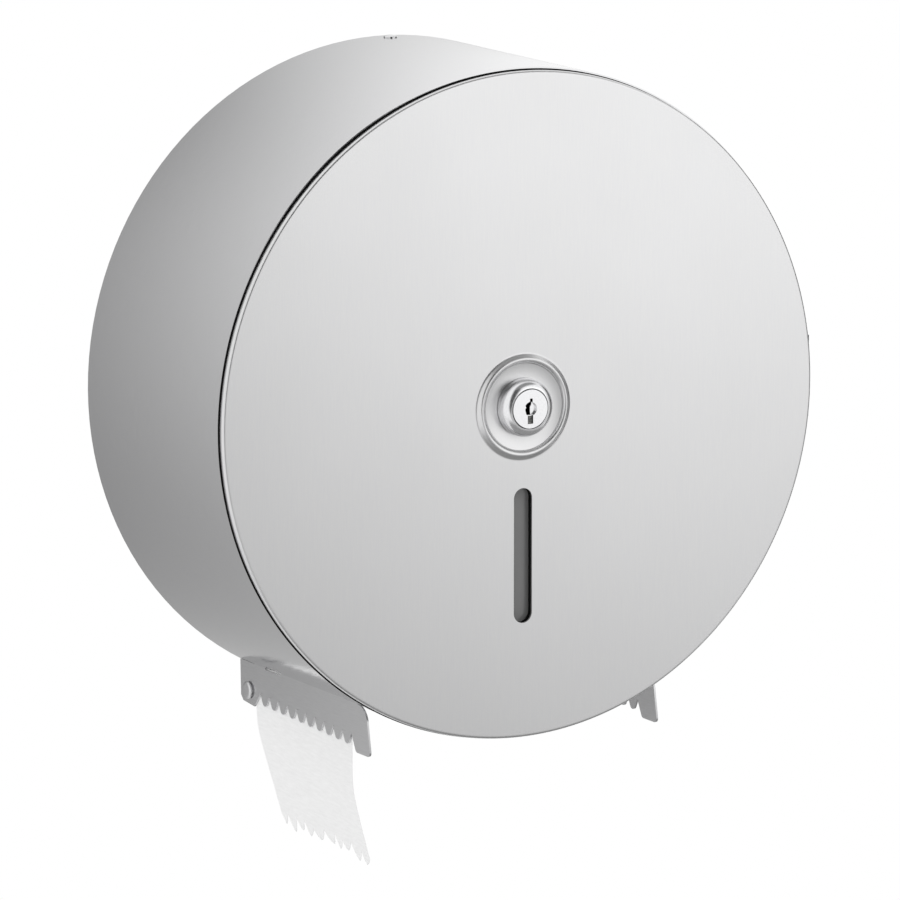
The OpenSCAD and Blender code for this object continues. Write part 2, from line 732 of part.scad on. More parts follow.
module window_studs() {
    color(dark_steel) at_studs(cover_back - stud_l) cylinder(r = stud_r, h = stud_l);
}

module window_nuts() {
    color(dark_steel) at_studs(window_back - stud_nut_t) nut(stud_nut_af, stud_r, stud_nut_t);
}

module lock_housing() {
    bore_r = plug_r + plug_clear;
    head_front = cover_front + head_h;
    color(chrome) on_cover() forward(0) rotate_extrude() polygon(concat(
        [[bore_r, barrel_back], [barrel_r, barrel_back], [barrel_r, cover_front],
         [head_r, cover_front]],
        [for (i = [0:10]) let (a = 90 * i / 10)
            [head_ring_r + (head_r - head_ring_r) * cos(a),
             cover_front + head_side_h + (head_h - head_side_h) * sin(a)]],
        [[bore_r + plug_chamfer, head_front], [bore_r, head_front - plug_chamfer]]));
}

module lock_nut() {
    color(dark_steel) on_cover() forward(cover_back - lock_nut_t)
        nut(lock_nut_af, barrel_r, lock_nut_t);
}

module lock_plug() {
    head_front = cover_front + head_h;
    color(chrome) on_cover() difference() {
        forward(0) rotate_extrude() polygon([
            [0, cam_back], [cam_seat_r, cam_back], [cam_seat_r, cam_front], [tail_r, cam_front],
            [tail_r, barrel_back], [plug_r, barrel_back], [plug_r, head_front - plug_chamfer],
            [plug_r - plug_chamfer, head_front], [0, head_front]]);
        forward(head_front - keyhole_depth) cylinder(r = keyhole_r, h = keyhole_depth + cut);
        block(-keyway_w / 2, keyway_w / 2, head_front - keyway_depth, head_front + cut,
              -keyway_drop - keyway_l / 2, -keyway_drop + keyway_l / 2);
        forward(cam_back - cut) cylinder(r = cam_screw_shank_r, h = cam_screw_reach + cut);
    }
}

module plug_clip() {
    clip_front = barrel_back - clip_play;
    color(dark_steel) on_cover() ring(clip_r, tail_r, clip_front - clip_t, clip_front);
}

module lock_cam() {
    color(dark_steel) on_cover() forward(cam_back) linear_extrude(cam_t) difference() {
        union() {
            circle(r = cam_hub_r);
            translate([-cam_w / 2, 0]) square([cam_w, cam_l - cam_w / 2]);
            translate([0, cam_l - cam_w / 2]) circle(r = cam_w / 2);
        }
        circle(r = cam_seat_r);
    }
}

module cam_screw() {
    color(steel) on_cover() {
        forward(cam_back) cylinder(r = cam_screw_shank_r, h = cam_screw_reach);
        forward(cam_back - cam_screw_t) cylinder(r = cam_screw_r, h = cam_screw_t);
    }
}

// Places a knuckle's length of its children at each place in a list, counted from below
module at_knuckles(places) {
    for (i = places) translate([0, 0, -hinge_l / 2 + i * (knuckle_l + knuckle_gap)]) children();
}

module knuckle_tube() {
    translate([hinge_x, -hinge_depth, 0]) cylinder(r = knuckle_r, h = knuckle_l);
}

module pin_bore() {
    translate([hinge_x, -hinge_depth, -hinge_l]) cylinder(r = pin_r + pin_clear, h = 2 * hinge_l);
}

module drum_hinge_leaf() {
    color(dark_steel) difference() {
        union() {
            intersection() {
                ring(drum_in_r, drum_in_r - leaf_t, leaf_front - leaf_w, leaf_front);
                block(0, drum_r, 0, drum_depth, -hinge_l / 2, hinge_l / 2);
            }
            at_knuckles([0, 2, 4]) {
                knuckle_tube();
                block(arm_in_x, hinge_x, arm_back, hinge_depth, 0, knuckle_l);
            }
        }
        pin_bore();
        for (a = hinge_rivet_angles) shell_rivet_hole(a, leaf_rivet_depth);
    }
}

module cover_hinge_leaf() {
    arm_x = hinge_x - hinge_reach;
    web_depth = hinge_depth + knuckle_r;
    color(dark_steel) difference() {
        union() {
            block(arm_x - leaf_w, arm_x + leaf_t, cover_back - leaf_t, cover_back,
                  -hinge_l / 2, hinge_l / 2);
            at_knuckles([1, 3]) {
                knuckle_tube();
                block(arm_x, arm_x + leaf_t, web_depth - leaf_t, cover_back, 0, knuckle_l);
                block(arm_x, hinge_x, web_depth - leaf_t, web_depth, 0, knuckle_l);
            }
        }
        pin_bore();
    }
}

module hinge_pin() {
    color(steel) translate([hinge_x, -hinge_depth, -hinge_l / 2]) {
        cylinder(r = pin_r, h = hinge_l);
        translate([0, 0, hinge_l]) cylinder(r = pin_head_r, h = pin_head_h);
        translate([0, 0, -pin_head_h]) cylinder(r = pin_head_r, h = pin_head_h);
    }
}

module hinge_rivets() {
    color(dark_steel) for (a = hinge_rivet_angles) shell_rivet(a, leaf_rivet_depth, leaf_t);
}

back_plate();
bar_brackets();
drum_wall();
drum_rivets();
rim_seal();
left_tear_bar();
right_tear_bar();
tear_bar_rivets();
spindle();
spindle_rivets();
catch_plate();
hub_ring();
roll_hub();
roll_core();
paper_roll();
tissue_tail();
front_cover();
window_gasket();
level_window();
window_studs();
window_nuts();
lock_housing();
lock_nut();
lock_plug();
plug_clip();
lock_cam();
cam_screw();
drum_hinge_leaf();
cover_hinge_leaf();
hinge_pin();
hinge_rivets();
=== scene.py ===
import json
import math
import bmesh
import bpy
import numpy as np
from mathutils import Matrix, Vector

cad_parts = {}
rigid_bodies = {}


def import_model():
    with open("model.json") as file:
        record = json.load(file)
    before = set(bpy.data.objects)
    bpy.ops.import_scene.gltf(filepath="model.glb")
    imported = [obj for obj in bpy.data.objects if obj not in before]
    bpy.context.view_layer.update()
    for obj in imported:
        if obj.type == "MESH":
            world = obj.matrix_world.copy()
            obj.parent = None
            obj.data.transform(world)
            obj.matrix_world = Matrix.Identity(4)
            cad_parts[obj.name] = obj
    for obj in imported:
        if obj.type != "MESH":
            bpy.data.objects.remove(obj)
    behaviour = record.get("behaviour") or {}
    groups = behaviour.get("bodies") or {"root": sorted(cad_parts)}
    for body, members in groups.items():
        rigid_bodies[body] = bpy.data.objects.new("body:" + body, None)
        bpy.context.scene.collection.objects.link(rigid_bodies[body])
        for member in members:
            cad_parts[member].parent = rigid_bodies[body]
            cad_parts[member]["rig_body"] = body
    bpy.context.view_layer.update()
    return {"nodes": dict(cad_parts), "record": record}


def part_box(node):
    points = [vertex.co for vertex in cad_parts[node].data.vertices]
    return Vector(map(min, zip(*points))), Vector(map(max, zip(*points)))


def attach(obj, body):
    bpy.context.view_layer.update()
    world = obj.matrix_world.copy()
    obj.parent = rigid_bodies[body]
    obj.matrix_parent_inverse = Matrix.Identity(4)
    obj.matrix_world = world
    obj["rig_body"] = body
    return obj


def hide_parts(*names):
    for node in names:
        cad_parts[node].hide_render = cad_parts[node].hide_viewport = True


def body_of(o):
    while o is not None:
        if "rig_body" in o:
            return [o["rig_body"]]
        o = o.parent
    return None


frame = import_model()
nodes = frame["nodes"]
mm = 0.001

# The origin is the drum's axis on the wall plane, and the front is -Y.
# Sizes are in mm, and a depth is the distance forward from the wall.

camera = {
    "azimuth": -29.08,      # degrees round from the front, to the left
    "elevation": 10.39,     # degrees above the horizon
    "distance": 3.199,      # metres from the middle of the view
    "lens": 304.8,          # mm
    "sensor": 36,           # mm wide
    "sight": 50,            # metres that the camera sees
    "right": 0.0283,        # the view's middle from the origin, metres to the right in the picture
    "up": -0.0370,          # and upwards in it
}


def placeCamera(settings):
    # a camera on a sphere round a point near the origin; its own axes are the columns of its
    # matrix: right (cos a, sin a, 0), back (sin a cos e, -cos a cos e, sin e), up = back x right
    turn, rise = math.radians(settings["azimuth"]), math.radians(settings["elevation"])
    right = Vector((math.cos(turn), math.sin(turn), 0))
    level = math.cos(rise)
    back = Vector((math.sin(turn) * level, -math.cos(turn) * level, math.sin(rise)))
    up = back.cross(right)
    middle = right * settings["right"] + up * settings["up"]
    data = bpy.data.cameras.new("camera")
    data.sensor_width = settings["sensor"]
    data.lens = settings["lens"]
    data.clip_end = settings["sight"]
    holder = bpy.data.objects.new("camera", data)
    bpy.context.scene.collection.objects.link(holder)
    axes = Matrix((right, up, back)).transposed().to_4x4()
    holder.matrix_world = Matrix.Translation(middle + back * settings["distance"]) @ axes
    bpy.context.scene.camera = holder


placeCamera(camera)
print("camera placed")


def linear(hexColour):
    # sRGB hex to linear rgba, by the sRGB standard's own curve
    channels = [int(hexColour[i:i + 2], 16) / 255 for i in (1, 3, 5)]
    return [c / 12.92 if c <= 0.04045 else ((c + 0.055) / 1.055) ** 2.4 for c in channels] + [1.0]


def addNode(tree, kind, inputs=None, **settings):
    # a node with its settings, and its inputs either set or linked
    node = tree.nodes.new(kind)
    for key, value in settings.items():
        setattr(node, key, value)
    for key, value in (inputs or {}).items():
        if isinstance(value, bpy.types.NodeSocket):
            tree.links.new(value, node.inputs[key])
        else:
            node.inputs[key].default_value = value
    return node


def clearedTree(owner):
    # the emptied node tree of a material or a world
    owner.use_nodes = True
    owner.node_tree.nodes.clear()
    return owner.node_tree


def newMaterial(name):
    # a material, its tree and the place on the piece that its patterns start from
    material = bpy.data.materials.new(name)
    tree = clearedTree(material)
    return material, tree, addNode(tree, "ShaderNodeTexCoord").outputs["Object"]


def perMetre(size):
    # the scale that gives a pattern its size in mm, because Object coordinates are in metres
    return 1 / (size * mm)


patternMiddle = (0.3, 0.7)      # the part of a noise pattern's 0 to 1 that a finish is spread over


def addFinish(tree, look, tone, gloss, height, glossRange=patternMiddle):
    # tone runs the colour from dark to light, gloss runs the roughness by spread either way,
    # and height is the bump
    ramp = addNode(tree, "ShaderNodeValToRGB", {"Fac": tone})
    colours = look["dark"], look["light"]
    for element, position, colour in zip(ramp.color_ramp.elements, patternMiddle, colours):
        element.position = position
        element.color = linear(colour)
    rough = addNode(tree, "ShaderNodeMapRange", {
        "Value": gloss, "From Min": glossRange[0], "From Max": glossRange[1],
        "To Min": look["roughness"] - look["spread"], "To Max": look["roughness"] + look["spread"]})
    bump = addNode(tree, "ShaderNodeBump", {
        "Height": height, "Strength": look["strength"], "Distance": look["relief"] * mm})
    shader = addNode(tree, "ShaderNodeBsdfPrincipled", {
        "Base Color": ramp.outputs[0], "Metallic": look["metallic"], "Roughness": rough.outputs[0],
        "Normal": bump.outputs[0]})
    for key, value in look.get("more", {}).items():
        shader.inputs[key].default_value = value
    addNode(tree, "ShaderNodeOutputMaterial", {"Surface": shader.outputs[0]})


wallRadius = 0.138      # metres, the radius at which a pattern round the drum is to scale


def aroundDrum(tree, place):
    # unrolls the drum: x is the way round its axis at the wall's radius, with the join at the
    # paper exit, y is the depth and z the distance from the axis
    parts = addNode(tree, "ShaderNodeSeparateXYZ", {0: place})
    angle = addNode(tree, "ShaderNodeMath", {0: parts.outputs["X"], 1: parts.outputs["Z"]},
                    operation="ARCTAN2")
    way = addNode(tree, "ShaderNodeMath", {0: angle.outputs[0], 1: wallRadius},
                  operation="MULTIPLY")
    flat = addNode(tree, "ShaderNodeVectorMath", {0: place, 1: (1, 0, 1)}, operation="MULTIPLY")
    radius = addNode(tree, "ShaderNodeVectorMath", {0: flat.outputs[0]}, operation="LENGTH")
    return addNode(tree, "ShaderNodeCombineXYZ", {
        0: way.outputs[0], 1: parts.outputs["Y"], 2: radius.outputs["Value"]}).outputs[0]


satin = {
    "grainWidth": 0.4,      # mm; real lines lie about 0.1 mm apart, drawn coarser so that they show
    "grainLength": 8.0,
    "cloudSize": 45.0,      # mm, of the faint clouds in the shine
    "cloudGloss": (0.6, 1.4),       # the middle of the grain and the clouds added together
    "metallic": 1.0, "spread": 0.02, "relief": 0.0003, "strength": 0.3,
}


def satinStainless(name, dark, light, roughness, grain):
    # 430 stainless sheet with a belt-sanded satin grain: very fine soft streaks and broad, calm
    # reflections; the streaks run along the grain's axis, or round the drum
    material, tree, place = newMaterial(name)
    if grain == "round":
        place = aroundDrum(tree, place)
    scale = [perMetre(satin["grainWidth"])] * 3
    scale[{"round": 0, "Y": 1, "Z": 2}[grain]] = perMetre(satin["grainLength"])
    streaks = addNode(tree, "ShaderNodeMapping", {"Vector": place, "Scale": scale})
    fine = addNode(tree, "ShaderNodeTexNoise", {
        "Vector": streaks.outputs[0], "Scale": 1.0, "Detail": 3.0, "Roughness": 0.6})
    cloud = addNode(tree, "ShaderNodeTexNoise", {
        "Vector": place, "Scale": perMetre(satin["cloudSize"]), "Detail": 3.0})
    both = addNode(tree, "ShaderNodeMath", {0: fine.outputs[0], 1: cloud.outputs[0]},
                   operation="ADD")
    look = {**satin, "dark": dark, "light": light, "roughness": roughness}
    addFinish(tree, look, fine.outputs[0], both.outputs[0], fine.outputs[0], satin["cloudGloss"])
    return material


def grittyFinish(name, dark, light, metallic, roughness, spread, grit, relief, strength=0.3,
                 more=None):
    # a moulded, plated, cast or fibrous surface; grit is the size in mm of its faint unevenness,
    # and more holds further inputs of the shader
    material, tree, place = newMaterial(name)
    noise = addNode(tree, "ShaderNodeTexNoise", {
        "Vector": place, "Scale": perMetre(grit), "Detail": 4.0, "Roughness": 0.55}).outputs[0]
    look = {"dark": dark, "light": light, "metallic": metallic, "roughness": roughness,
            "spread": spread, "relief": relief, "strength": strength, "more": more or {}}
    addFinish(tree, look, noise, noise, noise)
    return material


creped = {
    "fibre": 0.5,       # mm, of the fluff between the ridges, coarser than one fibre so as to show
    "metallic": 0.0, "roughness": 0.9, "spread": 0.05, "relief": 0.06, "strength": 0.35,
    "more": {"Sheen Weight": 0.15},
}


def crepedTissue(name, dark, light, ridge, wound):
    # two-ply tissue, creped off its drying drum: matt white, with soft ridges across the web
    # ridge is the size in mm of the pattern along x, y and z; a ridge or a winding is a few tenths
    # of a millimetre, and both are drawn coarser, so that they show
    # where the web is wound, its edges show as fine rings about the roll's axis
    material, tree, place = newMaterial(name)
    if wound:
        place = aroundDrum(tree, place)
    scale = [perMetre(size) for size in ridge]
    ridges = addNode(tree, "ShaderNodeMapping", {"Vector": place, "Scale": scale})
    crepe = addNode(tree, "ShaderNodeTexNoise", {
        "Vector": ridges.outputs[0], "Scale": 1.0, "Detail": 4.0, "Roughness": 0.6})
    fibre = addNode(tree, "ShaderNodeTexNoise", {
        "Vector": place, "Scale": perMetre(creped["fibre"]), "Detail": 3.0})
    both = addNode(tree, "ShaderNodeMath", {0: crepe.outputs[0], 1: fibre.outputs[0]},
                   operation="ADD")
    look = {**creped, "dark": dark, "light": light}
    addFinish(tree, look, crepe.outputs[0], crepe.outputs[0], both.outputs[0])
    return material


coverSteel = satinStainless("satin stainless cover", "#dadadb", "#dddddd", 0.3, "Z")
# the drum is rolled from a smoother sheet, so its bands of light are sharper
drumSteel = satinStainless("satin stainless drum", "#d2d2d3", "#d6d6d7", 0.12, "round")
barSteel = satinStainless("satin stainless tear bar", "#cdcdce", "#d5d5d6", 0.3, "Y")
# zinc-plated pressings: cool grey, with a soft and slightly cloudy shine
zincPlate = grittyFinish("bright zinc plate", "#a9acb0", "#bbbec2", metallic=1.0, roughness=0.3,
                         spread=0.08, grit=3.0, relief=0.01)
# chrome over fine-turned brass: bright, with a calm blurred mirror
satinChrome = grittyFinish("satin chrome plate", "#e6e6e8", "#f2f2f3", metallic=1.0,
                           roughness=0.22, spread=0.03, grit=0.5, relief=0.002, strength=0.1)
# extruded black rubber, painted darker than rubber itself is, so that it also stands for the shade
# in the seams it fills
shadeBlackRubber = grittyFinish("EPDM rubber darkened as painted shade", "#030303", "#070707", metallic=0.0, roughness=0.75,
                          spread=0.1, grit=0.8, relief=0.02, more={"IOR": 1.25})
# brass painted almost black, with a hint of brown, as painted shade inside the deep keyway
keywayShadeBrass = grittyFinish("keyway brass darkened as painted shade", "#1c1813", "#2b241c", metallic=1.0,
                           roughness=0.5, spread=0.1, grit=1.0, relief=0.02)
# nickel on the faces of the tumblers' slot: dark, with bright specks
tumblerNickel = grittyFinish("dark speckled nickel tumblers", "#141414", "#a6a6a4", metallic=1.0,
                             roughness=0.45, spread=0.1, grit=0.7, relief=0.02)
# moulded polypropylene: charcoal, evenly matt
hubPlastic = grittyFinish("moulded polypropylene", "#2a2c2f", "#303236", metallic=0.0,
                          roughness=0.45, spread=0.06, grit=0.6, relief=0.01)
# spirally wound board: dull buff
coreBoard = grittyFinish("grey cardboard", "#a58b6b", "#b89d7b", metallic=0.0, roughness=0.85,
                         spread=0.05, grit=1.5, relief=0.05)
# cast and tinted acrylic sheet: a smooth grey pane that lets part of the light through
smokedAcrylic = grittyFinish("smoked acrylic", "#858585", "#8b8b8b", metallic=0.0, roughness=0.06,
                             spread=0.01, grit=20.0, relief=0.002, strength=0.05,
                             more={"Transmission Weight": 0.4, "IOR": 1.49})
hangingTissue = crepedTissue("creped tissue", "#f2f2f2", "#fafafa", (6, 6, 1.1), wound=False)
woundTissue = crepedTissue("wound tissue", "#e3e3e1", "#f7f7f6", (12, 12, 0.35), wound=True)

finishOfSlot = {
    "drum_steel": drumSteel, "cover_steel": coverSteel, "bar_steel": barSteel,
    "rivet_steel": drumSteel, "zinc_steel": zincPlate, "lock_chrome": satinChrome,
    "black_rubber": shadeBlackRubber, "hub_plastic": hubPlastic, "smoked_acrylic": smokedAcrylic,
    "core_board": coreBoard, "tissue": hangingTissue,
}
slotOfNode = {part["node"]: part["material_slot"] for part in frame["record"]["subparts"]}
for name, holder in nodes.items():
    holder.data.materials.clear()
    holder.data.materials.append(finishOfSlot[slotOfNode[name]])
print("materials made and given to the frame's nodes")


def inMm(box):
    # the lowest and the highest corner, in mm, of a box that is given in metres
    return [np.array(corner) / mm for corner in box]


def meshFromGrid(name, points, closeAcross=False, closeAlong=False, capped=False):
    # points is rows x columns x 3, in mm; each four neighbours (r, c), (r, c + 1), (r + 1, c + 1)
    # and (r + 1, c) make a quad, and capped closes the first and the last row with a face each
    rows, columns = points.shape[:2]
    index = np.arange(rows * columns).reshape(rows, columns)
    if closeAlong:
        index = np.vstack([index, index[:1]])
    if closeAcross:
        index = np.hstack([index, index[:, :1]])
    faces = np.stack([index[:-1, :-1], index[:-1, 1:], index[1:, 1:], index[1:, :-1]], axis=-1)
    faces = faces.reshape(-1, 4).tolist()
    if capped:
        ends = np.arange(rows * columns).reshape(rows, columns)
        faces += [ends[0, ::-1].tolist(), ends[-1].tolist()]
    mesh = bpy.data.meshes.new(name)
    mesh.from_pydata((points.reshape(-1, 3) * mm).tolist(), [], faces)
    mesh.update()
    return mesh


def addPiece(name, mesh, body, finish, replaced, sharp=35):
    # sharp is the angle in degrees above which an edge stays hard
    # a mesh that has its materials keeps them
    mesh.polygons.foreach_set("use_smooth", np.ones(len(mesh.polygons), dtype=bool))
    mesh.set_sharp_from_angle(angle=math.radians(sharp))
    if not mesh.materials:
        mesh.materials.append(finish)
    piece = bpy.data.objects.new(name, mesh)
    bpy.context.scene.collection.objects.link(piece)
    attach(piece, body)
    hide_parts(*replaced)
    return piece


def arcPoints(centre, radius, start, end, count):
    # centre + radius x (cos, sin) at count angles in degrees from start to end, as rows of
    # two numbers; the two radii of an ellipse may differ
    angle = np.radians(np.linspace(start, end, count))
    return np.stack([centre[0] + radius[0] * np.cos(angle),
                     centre[1] + radius[1] * np.sin(angle)], axis=1)


axisHole = 0.02     # mm, radius of the hair-thin hole on the axis of a solid that is turned whole


def lathe(name, outline, drop=0, segments=256):
    # a closed outline of (radius, depth) turned about the drum's axis, drop mm lower:
    # x = radius cos a, y = -depth, z = radius sin a - drop
    angle = np.linspace(0, 2 * np.pi, segments, endpoint=False)
    radius, depth = outline[:, 0], outline[:, 1]
    points = np.empty((len(outline), segments, 3))
    points[..., 0] = radius[:, None] * np.cos(angle)
    points[..., 1] = -depth[:, None]
    points[..., 2] = radius[:, None] * np.sin(angle) - drop
    return meshFromGrid(name, points, closeAcross=True, closeAlong=True)


capShare = 0.01     # of a bar's outline, the small cap in the middle of each end


def bar(name, ring, depths, z=0):
    # a closed solid of the flat outline ring (x, z) between two depths, z mm higher; each end is
    # the ring drawn in to its middle, down to its cap
    middle = ring.mean(axis=0)
    share = np.array([capShare, 1, 1, capShare])[:, None, None]
    flat = middle + (ring - middle) * share
    points = np.empty((len(share), len(ring), 3))
    points[..., 0] = flat[..., 0]
    points[..., 1] = -np.array([depths[1], depths[1], depths[0], depths[0]])[:, None]
    points[..., 2] = flat[..., 1] + z
    return meshFromGrid(name, points, closeAcross=True, capped=True)


past = 2.0      # mm that a cutter runs on past the faces it opens


def carved(mesh, *cutters):
    # mesh less each cutter's mesh; the cut faces take the cutter's material
    for cutter in cutters:
        blank = bpy.data.objects.new("blank", mesh)
        tool = bpy.data.objects.new("tool", cutter)
        for holder in (blank, tool):
            bpy.context.scene.collection.objects.link(holder)
        cutting = blank.modifiers.new("cut", "BOOLEAN")
        cutting.operation = "DIFFERENCE"
        cutting.object = tool
        cutting.solver = "EXACT"
        cutting.material_mode = "TRANSFER"
        bpy.context.view_layer.update()
        shown = blank.evaluated_get(bpy.context.evaluated_depsgraph_get())
        mesh = bpy.data.meshes.new_from_object(shown)
        for holder in (blank, tool):
            bpy.data.objects.remove(holder)
    return mesh


coverLow, coverHigh = inMm(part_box("front_cover"))
cover = {
    "inset": 0.1,           # the rim's outer face inside the solid's
    "reach": 0.8,           # how far the rim runs on behind the solid's, towards the seal
    "sheet": 0.8, "edge": 1.1, "innerEdge": 0.3,        # thickness and the radii of the bend
    "rimLean": 0.2,         # inwards at the rim's back
    "beadRadius": 22.2,     # outer foot of the bead
    "beadHeight": 1.4, "beadOut": 2.5, "beadIn": 1.5,   # the bead's two slopes, across
    "crease": 0.4,          # between the bead and the dish
    "dishHeight": 0.6, "dishFoot": 12.3, "hole": 9.5,   # height at the crease, and inner radii
    "support": 0.4,         # narrow rings beside the bends keep their shading off the flat
    "slotWidth": 8.5, "slotLength": 56.0, "slotBelow": 61.67,
}
cover["radius"] = (coverHigh[0] - coverLow[0]) / 2 - cover["inset"]
cover["drop"] = -(coverHigh[2] + coverLow[2]) / 2
cover["rimBack"] = -coverHigh[1] - cover["reach"]
cover["front"] = -coverLow[1] - cover["beadHeight"]


def coverOutline(settings):
    # half section: rim leaning in at its back, rounded edge, flat face, bead, dish and hole, and
    # back again one sheet behind; the bead rises as half a cosine wave and falls inwards as an
    # ellipse into the crease, and the dish falls from there as a parabola to its foot
    radius, front, sheet, edge = (settings[key] for key in ("radius", "front", "sheet", "edge"))
    beadTop, crease, foot = (settings[key] for key in ("beadHeight", "crease", "dishFoot"))
    rise = np.linspace(0, 1, num=20)[:-1]
    outer = np.stack([settings["beadRadius"] - settings["beadOut"] * rise,
                      front + beadTop * (1 - np.cos(np.pi * rise)) / 2], axis=1)
    stop = 180 - math.degrees(math.asin((settings["dishHeight"] - crease) / beadTop))
    inner = arcPoints((settings["beadRadius"] - settings["beadOut"], front),
                      (settings["beadIn"], beadTop), 90, stop, count=24)
    share = np.linspace(1, 0, num=24)
    dishWidth = inner[-1, 0] - crease - foot
    dish = np.stack([foot + dishWidth * share, front + settings["dishHeight"] * share ** 2],
                    axis=1)
    support = settings["support"]
    radii = np.concatenate([[radius - edge], np.linspace(
        radius - edge - support, settings["beadRadius"] + support, num=12)])
    flat = np.stack([radii, np.full(len(radii), front)], axis=1)
    face = np.vstack([flat, outer, inner, dish,
                      [[foot - support, front], [settings["hole"], front]]])
    outerEdge = arcPoints((radius - edge, front - edge), (edge, edge), 0, 90, count=9)[:-1]
    bend = settings["innerEdge"]
    innerEdge = arcPoints((radius - sheet - bend, front - sheet - bend), (bend, bend), 90, 0,
                          count=5)
    lean, rimBack = settings["rimLean"], settings["rimBack"]
    back = [[radius - sheet - lean, rimBack], [radius - lean, rimBack]]
    return np.vstack([back, outerEdge, face, face[::-1] - [0, sheet], innerEdge])


def slotRing(settings):
    # the slot's outline: a half round, and the same turned by 180 degrees, joined by its sides
    half = settings["slotWidth"] / 2
    top = arcPoints((0, settings["slotLength"] / 2 - half), (half, half), 0, 180, count=25)
    return np.vstack([top, -top])[::-1]


coverBlank = lathe("cover shell", coverOutline(cover), cover["drop"])
slotCutter = bar("slot cutter", slotRing(cover), (cover["front"] - past, cover["front"] + past),
                 z=-cover["slotBelow"] - cover["drop"])
for part in (coverBlank, slotCutter):
    part.materials.append(coverSteel)
addPiece("cover_shell", carved(coverBlank, slotCutter), "cover", coverSteel,
         ["front_cover"], sharp=30)
print("front cover pressed and slotted")


drumLow, drumHigh = inMm(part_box("drum_wall"))
leafLow, leafHigh = inMm(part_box("cover_hinge_leaf"))
seal = {
    "inset": 0.12,          # inside the drum's outer face
    "play": 0.05,           # behind the cover's rim
    "inner": 131.2, "crown": 0.8, "drop": 0.55,
    "room": 0.6,            # left free all round the hinge's leaf
}
seal["outer"] = (drumHigh[0] - drumLow[0]) / 2 - seal["inset"]
seal["rear"] = -drumLow[1]
seal["front"] = cover["rimBack"] - seal["play"]


def sealOutline(settings):
    # half section of the rubber strip between the drum and the cover: flat sides, and a half
    # ellipse outwards
    half = (settings["front"] - settings["rear"]) / 2
    crown = arcPoints((settings["outer"] - settings["crown"], settings["rear"] + half),
                      (settings["crown"], half), -90, 90, count=13)
    return np.vstack([crown, [[settings["inner"], settings["front"]],
                              [settings["inner"], settings["rear"]]]])


# the strip is real rubber, and its near-black finish is partly painted shade of the seam between
# drum and cover
sealMesh = lathe("seal strip", sealOutline(seal), seal["drop"])
low, high = leafLow - seal["room"], leafHigh + seal["room"]
hingeRing = np.array([[low[0], low[2]], [low[0], high[2]], [high[0], high[2]], [high[0], low[2]]])
hingeCutter = bar("hinge room", hingeRing, (seal["rear"] - past, cover["rimBack"] + past))
for part in (sealMesh, hingeCutter):
    part.materials.append(shadeBlackRubber)
addPiece("seal_strip", carved(sealMesh, hingeCutter), "housing", shadeBlackRubber,
         ["rim_seal"])
print("seal laid between drum and cover")


plugLow, plugHigh = inMm(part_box("lock_plug"))
lock = {
    "front": -plugLow[1], "back": -plugHigh[1], "drop": cover["drop"], "segments": 160,
    "head": 12.0, "side": 2.0,              # radius of the head, height of its straight side
    "dome": 7.7,                            # radius at which the dome would level out
    "undercut": 0.35, "chamfer": 0.12,
    "barrel": 9.4, "barrelLength": 13.4, "thread": 1.0, "threadDepth": 0.35, "threadStop": 0.9,
    "bore": 8.36, "plug": 8.05,             # radii, so that a dark ring shows between them
    "seat": 3.2, "tail": 5.0, "camThickness": 2.0,      # behind the barrel, where the cam sits
    "mouth": 2.9, "mouthDepth": 1.2,        # the round recess in front of the keyway
    "faceRings": (3.0, 0.4),                # outside the mouth, to keep its edge's shading near
    "keywayDepth": 8.0, "tumblerDepth": 0.7,
}


def headOutline(settings, coverFront):
    # half section: barrel with a thread as a triangle wave, undercut foot, straight side and an
    # elliptical dome that stops at the bore's chamfer
    front, back = settings["front"], coverFront - settings["barrelLength"]
    head, dome, undercut = settings["head"], settings["dome"], settings["undercut"]
    count = int(settings["barrelLength"] / settings["thread"]) * 2
    depth = np.linspace(back, coverFront - settings["threadStop"], count + 1)
    radius = settings["barrel"] - settings["threadDepth"] * (np.arange(count + 1) % 2)
    mouth = settings["bore"] + settings["chamfer"]
    stop = math.degrees(math.acos((mouth - dome) / (head - dome)))
    shoulder = arcPoints((dome, coverFront + settings["side"]),
                         (head - dome, front - coverFront - settings["side"]), 0, stop, count=24)
    return np.vstack([[[settings["bore"], back]], np.stack([radius, depth], axis=1),
                      [[settings["barrel"], coverFront], [head - undercut, coverFront],
                       [head - undercut, coverFront + undercut], [head, coverFront + undercut]],
                      shoulder, [[settings["bore"], shoulder[-1, 1] - settings["chamfer"]]]])


def plugOutline(settings, coverFront):
    # half section of the turning plug with its cam seat and tail
    front, back, chamfer = settings["front"], settings["back"], settings["chamfer"]
    seat, tail, plug = settings["seat"], settings["tail"], settings["plug"]
    barrelBack, camFront = coverFront - settings["barrelLength"], back + settings["camThickness"]
    faceRings = [[settings["mouth"] + ring, front] for ring in settings["faceRings"]]
    return np.array([[axisHole, back], [seat, back], [seat, camFront], [tail, camFront],
                     [tail, barrelBack], [plug, barrelBack], [plug, front - chamfer],
                     [plug - chamfer, front], *faceRings, [axisHole, front]])


# outlines seen from the front about the plug's axis: the keyway is a warded slot for the blade,
# and the tumblers show in the shallower slot below it
keywayRing = np.array([[-1.3, -2.6], [0.5, -2.6], [0.3, -1.0], [0.3, 0.7], [0.9, 1.7], [0.9, 4.3],
                       [-0.3, 4.3], [-0.3, 3.1], [-1.5, 2.5], [-1.9, 1.4], [-1.4, 0.6],
                       [-1.9, -0.4]])[::-1]
tumblerRing = np.array([[-1.35, -6.1], [1.15, -6.1], [1.15, -2.4], [-1.35, -2.4]])[::-1]
mouthRing = arcPoints((0, 0), (lock["mouth"], lock["mouth"]), 360, 0, count=41)[:-1]

